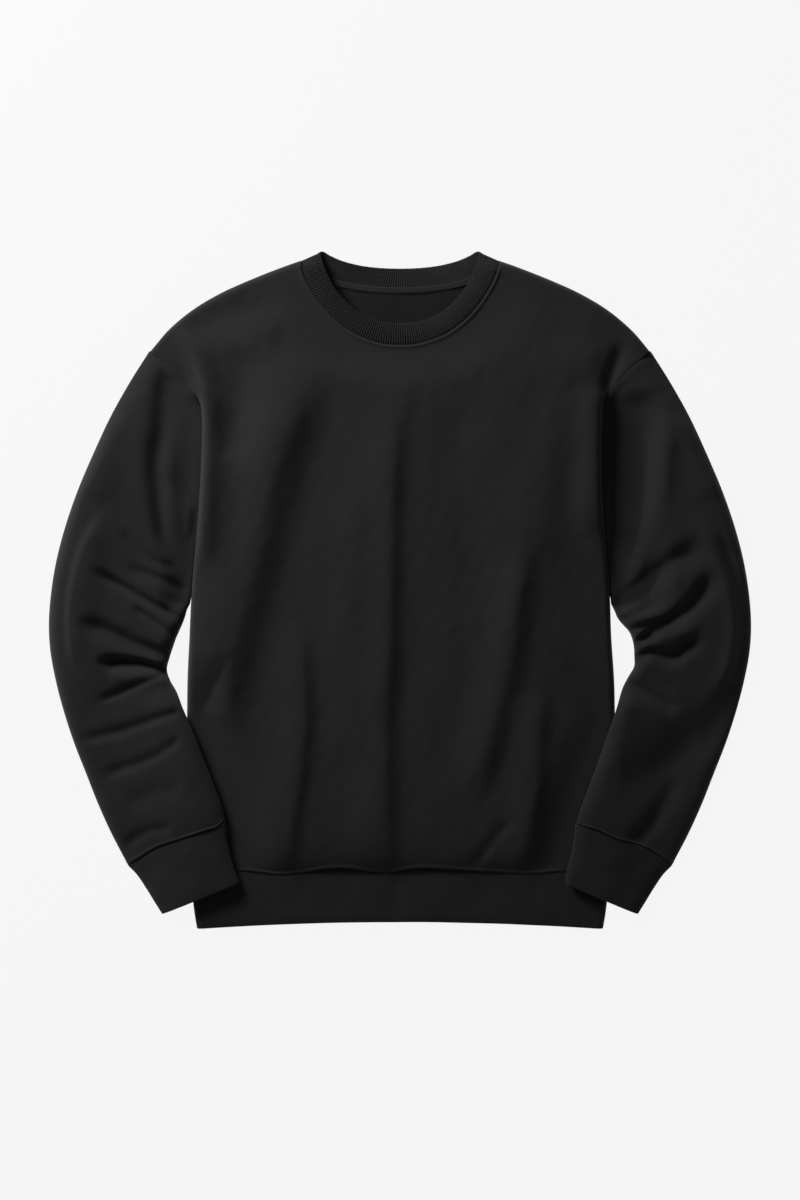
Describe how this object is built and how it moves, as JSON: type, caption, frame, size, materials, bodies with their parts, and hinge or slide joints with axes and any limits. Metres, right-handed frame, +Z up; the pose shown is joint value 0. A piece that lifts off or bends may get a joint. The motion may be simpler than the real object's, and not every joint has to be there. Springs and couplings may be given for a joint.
{
  "type": "crewneck sweatshirt laid flat",
  "caption": "Long-sleeved crewneck sweatshirt of heavy fleece with ribbed neck, cuffs and hem, lying flat with its forearms over the hem.",
  "frame": {"origin": "middle of the footprint's bounding box, on the surface that the garment lies on", "axes": "+Z up out of the front, +Y from the hem to the collar, +X to the wearer's left"},
  "size_m": [0.737, 0.7121, 0.0283],
  "materials": {
    "fleece": "matt near-black brushed cotton fleece",
    "rib_knit": "matt near-black rib knit",
    "neck_tape": "smooth near-black jersey tape"
  },
  "bodies": {
    "root": {"front_panel": "fleece", "back_panel": "fleece", "sleeve_right_upper": "fleece", "sleeve_right_lower": "fleece", "sleeve_left_upper": "fleece", "sleeve_left_lower": "fleece", "neck_rib": "rib_knit", "cuff_right": "rib_knit", "cuff_left": "rib_knit", "hem_band": "rib_knit", "back_neck_tape": "neck_tape"}
  },
  "joints": []
}
